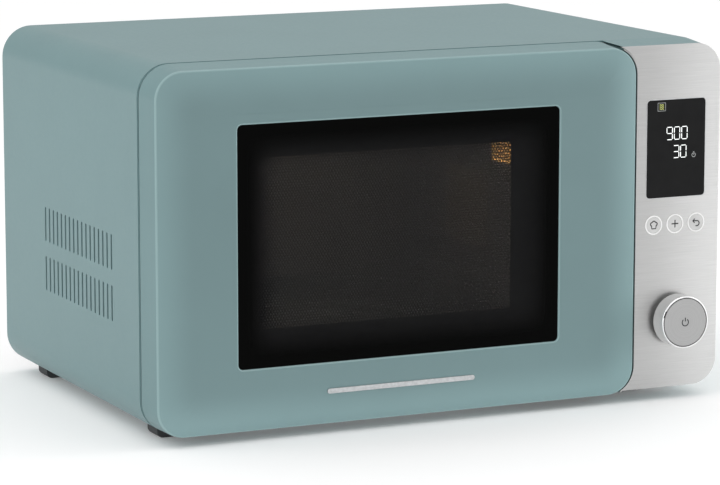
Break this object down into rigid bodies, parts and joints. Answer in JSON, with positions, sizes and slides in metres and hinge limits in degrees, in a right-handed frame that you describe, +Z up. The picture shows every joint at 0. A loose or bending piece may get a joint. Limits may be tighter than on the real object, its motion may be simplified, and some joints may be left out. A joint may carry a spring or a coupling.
{
  "type": "microwave oven",
  "caption": "Countertop microwave oven with a side-hinged crowned door, dark window, brushed control column with display, push buttons and rotary knob, and a turntable inside.",
  "frame": {"origin": "centre of the bottom face of the bounding box, on the plane the feet stand on", "axes": "+X to the right seen from the front, front faces -Y, +Z up"},
  "size_m": [0.49, 0.3506, 0.289],
  "materials": {
    "body_paint": "satin enamel",
    "moulding_paint": "satin paint on a moulding",
    "bare_aluminium": "bare pressed sheet",
    "brushed_panel": "horizontal brushing",
    "knob_metal": "satin",
    "galvanised": "zinc coated",
    "grey_enamel": "smooth",
    "tinted_glass": "gloss black tint",
    "clear_glass": "clear",
    "dark_plastic": "fine grain",
    "light_plastic": "smooth",
    "button_grey": "satin",
    "screw_steel": "bright zinc",
    "motor_steel": "lacquered laminations",
    "circuit_board": "solder mask",
    "foot_rubber": "matt",
    "mica": "mica sheet",
    "lamp_glass": "clear bulb"
  },
  "bodies": {
    "cabinet": {"base_plate": "galvanised", "button_rings": "light_plastic", "button_switches": "dark_plastic", "cavity_lamp": "lamp_glass", "control_board": "circuit_board", "control_fascia": "brushed_panel", "control_housing": "moulding_paint", "display_glass": "tinted_glass", "display_module": "dark_plastic", "door_microswitches": "dark_plastic", "fan_duct": "light_plastic", "fan_motor": "motor_steel", "feet": "foot_rubber", "front_plate": "grey_enamel", "high_voltage_capacitor": "bare_aluminium", "high_voltage_transformer": "motor_steel", "hinge_arms": "galvanised", "knob_encoder": "motor_steel", "lamp_grille": "grey_enamel", "latch_bracket": "dark_plastic", "magnetron": "bare_aluminium", "mains_cable_gland": "dark_plastic", "mains_filter_board": "circuit_board", "outer_casing": "body_paint", "oven_cavity": "grey_enamel", "rear_panel": "galvanised", "rear_screws": "screw_steel", "thermal_cutout": "motor_steel", "turntable_motor": "motor_steel", "waveguide": "galvanised", "waveguide_cover": "mica"},
    "door": {"door_outer_cover": "moulding_paint", "door_window_glass": "tinted_glass", "door_trim_bar": "brushed_panel", "door_choke_frame": "grey_enamel", "perforated_screen": "galvanised", "door_inner_pane": "clear_glass", "door_choke_cover": "dark_plastic", "door_rear_frame": "dark_plastic", "door_screws": "screw_steel", "door_hinge_brackets": "galvanised", "latch_guide": "dark_plastic", "latch_spring": "screw_steel"},
    "latch": {"latch_slider": "dark_plastic"},
    "recipe_button": {"button_recipe": "button_grey"},
    "plus_button": {"button_plus": "button_grey"},
    "back_button": {"button_back": "button_grey"},
    "knob_carrier": {"encoder_plunger": "light_plastic"},
    "knob": {"knob_body": "knob_metal", "knob_face": "knob_metal", "encoder_shaft": "screw_steel"},
    "turntable": {"glass_turntable": "clear_glass", "turntable_coupler": "light_plastic"},
    "roller_ring": {"roller_ring": "light_plastic"},
    "roller_wheel_1": {"roller_wheel_1": "light_plastic"},
    "roller_wheel_2": {"roller_wheel_2": "light_plastic"},
    "roller_wheel_3": {"roller_wheel_3": "light_plastic"},
    "fan": {"fan_blade": "light_plastic", "fan_shaft": "screw_steel"}
  },
  "joints": [
    {"name": "door_swing", "type": "hinge", "parent": "cabinet", "child": "door", "pos_m": [-0.2365, -0.14905, 0.148], "axis": [0, 0, -1], "range_deg": [0, 95]},
    {"name": "latch_lift", "type": "slide", "parent": "door", "child": "latch", "axis": [0, 0, 1], "range_m": [0, 0.004], "stiffness_N_per_m": 150, "deforming": ["latch_spring"]},
    {"name": "recipe_button_press", "type": "slide", "parent": "cabinet", "child": "recipe_button", "axis": [0, 1, 0], "range_m": [0, 0.0008], "stiffness_N_per_m": 600},
    {"name": "plus_button_press", "type": "slide", "parent": "cabinet", "child": "plus_button", "axis": [0, 1, 0], "range_m": [0, 0.0008], "stiffness_N_per_m": 600},
    {"name": "back_button_press", "type": "slide", "parent": "cabinet", "child": "back_button", "axis": [0, 1, 0], "range_m": [0, 0.0008], "stiffness_N_per_m": 600},
    {"name": "knob_press", "type": "slide", "parent": "cabinet", "child": "knob_carrier", "axis": [0, 1, 0], "range_m": [0, 0.0015], "stiffness_N_per_m": 900},
    {"name": "knob_turn", "type": "hinge", "parent": "knob_carrier", "child": "knob", "pos_m": [0.2023, -0.16605, 0.0659], "axis": [0, 1, 0], "continuous": true},
    {"name": "turntable_spin", "type": "hinge", "parent": "cabinet", "child": "turntable", "pos_m": [-0.035, 0.00495, 0.058], "axis": [0, 0, 1], "continuous": true},
    {"name": "roller_ring_spin", "type": "hinge", "parent": "cabinet", "child": "roller_ring", "pos_m": [-0.035, 0.00495, 0.0498], "axis": [0, 0, 1], "continuous": true},
    {"name": "roller_wheel_1_spin", "type": "hinge", "parent": "roller_ring", "child": "roller_wheel_1", "pos_m": [-0.035, 0.09495, 0.0498], "axis": [0, 1, 0], "continuous": true},
    {"name": "roller_wheel_2_spin", "type": "hinge", "parent": "roller_ring", "child": "roller_wheel_2", "pos_m": [-0.11294, -0.04005, 0.0498], "axis": [-0.866, -0.5, 0], "continuous": true},
    {"name": "roller_wheel_3_spin", "type": "hinge", "parent": "roller_ring", "child": "roller_wheel_3", "pos_m": [0.04294, -0.04005, 0.0498], "axis": [0.866, -0.5, 0], "continuous": true},
    {"name": "fan_spin", "type": "hinge", "parent": "cabinet", "child": "fan", "pos_m": [0.179, 0.12595, 0.158], "axis": [0, 1, 0], "continuous": true}
  ],
  "couplings": [
    {"joint": "roller_ring_spin", "follows": "turntable_spin", "ratio": 0.5},
    {"joint": "roller_wheel_1_spin", "follows": "turntable_spin", "ratio": -6},
    {"joint": "roller_wheel_2_spin", "follows": "turntable_spin", "ratio": -6},
    {"joint": "roller_wheel_3_spin", "follows": "turntable_spin", "ratio": -6}
  ]
}
